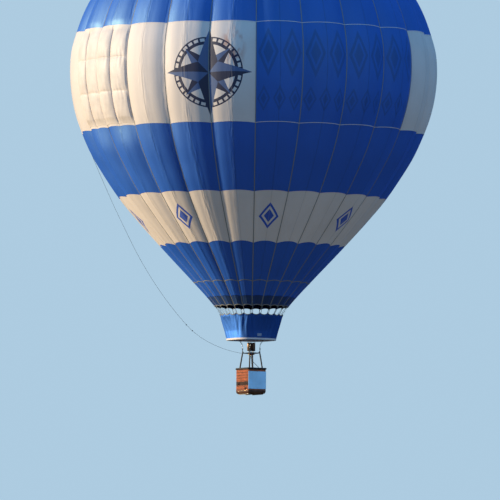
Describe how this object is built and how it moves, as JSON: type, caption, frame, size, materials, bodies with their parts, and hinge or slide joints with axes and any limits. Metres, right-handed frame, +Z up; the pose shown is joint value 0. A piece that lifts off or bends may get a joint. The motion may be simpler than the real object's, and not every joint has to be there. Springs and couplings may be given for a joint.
{
  "type": "hot air balloon",
  "caption": "Hot air balloon with a gored fabric envelope in blue and cream bands, a parachute valve, a scoop, a gimballed double burner and a wicker basket",
  "frame": {"origin": "On the balloon's upright axis, at the height where the envelope is widest", "axes": "+Z up along the envelope's axis; -Y towards the basket's banner side; +X to the right of someone who faces the banner"},
  "size_m": [16.64, 16.64, 21.4992],
  "materials": {
    "blue_fabric": "coated ripstop nylon, royal blue, slightly glossy",
    "cream_fabric": "coated ripstop nylon, warm cream",
    "heat_fabric": "matt heat-resistant weave, very dark blue",
    "webbing": "woven load tape, dull grey-buff",
    "aluminium": "satin, lightly scuffed",
    "frame_paint": "dark grey powder coat",
    "steel": "stainless, heat-tinted near the burner",
    "cable": "stranded stainless wire",
    "leather": "very dark brown hide, stitched",
    "wicker": "woven willow and cane, golden brown",
    "timber": "varnished marine plywood and hardwood",
    "banner_cloth": "plain light-blue canvas, hemmed",
    "hose_rubber": "black braided hose",
    "rope": "braided dark grey line"
  },
  "bodies": {
    "balloon": {"envelope_top_blue": "blue_fabric", "broad_band_blue_front": "blue_fabric", "broad_band_blue_back": "blue_fabric", "envelope_middle_blue": "blue_fabric", "envelope_lower_blue": "blue_fabric", "scoop": "blue_fabric", "broad_band_cream_left": "cream_fabric", "broad_band_cream_right": "cream_fabric", "narrow_band_cream": "cream_fabric", "scoop_hem": "cream_fabric", "heat_panel": "heat_fabric", "load_tapes": "webbing", "scoop_straps": "webbing", "crown_ring": "aluminium", "fuel_tank_back": "aluminium", "fuel_tank_front": "aluminium", "burner_frame": "frame_paint", "karabiner_front_left": "steel", "karabiner_front_right": "steel", "karabiner_back_right": "steel", "karabiner_back_left": "steel", "upright_socket_front_left": "steel", "upright_socket_front_right": "steel", "upright_socket_back_right": "steel", "upright_socket_back_left": "steel", "suspension_wires_front_left": "cable", "suspension_wires_front_right": "cable", "suspension_wires_back_right": "cable", "suspension_wires_back_left": "cable", "upright_front_left": "leather", "upright_front_right": "leather", "upright_back_right": "leather", "upright_back_left": "leather", "basket_rim": "leather", "basket_scuff": "leather", "basket_wall": "wicker", "basket_floor": "timber", "runner_1": "timber", "runner_2": "timber", "runner_3": "timber", "banner": "banner_cloth", "fuel_hose_back": "hose_rubber", "fuel_hose_front": "hose_rubber", "crown_line_on_envelope": "rope", "crown_line": "rope"},
    "valve": {"parachute_valve": "blue_fabric"},
    "gimbal_ring": {"gimbal_ring": "frame_paint"},
    "burner": {"burner_block": "steel", "burner_can_left": "steel", "burner_can_right": "steel", "burner_coil_left": "steel", "burner_coil_right": "steel"}
  },
  "joints": [
    {"name": "parachute_slide", "type": "slide", "parent": "balloon", "child": "valve", "axis": [0, 0, -1], "range_m": [0, 1.2], "stiffness_N_per_m": 400, "springref_m": -0.6},
    {"name": "gimbal_roll", "type": "hinge", "parent": "balloon", "child": "gimbal_ring", "pos_m": [0, 0, -12.9], "axis": [0, 1, 0], "range_deg": [-10, 10]},
    {"name": "burner_pitch", "type": "hinge", "parent": "gimbal_ring", "child": "burner", "pos_m": [0, 0, -12.9], "axis": [1, 0, 0], "range_deg": [-10, 10]}
  ]
}
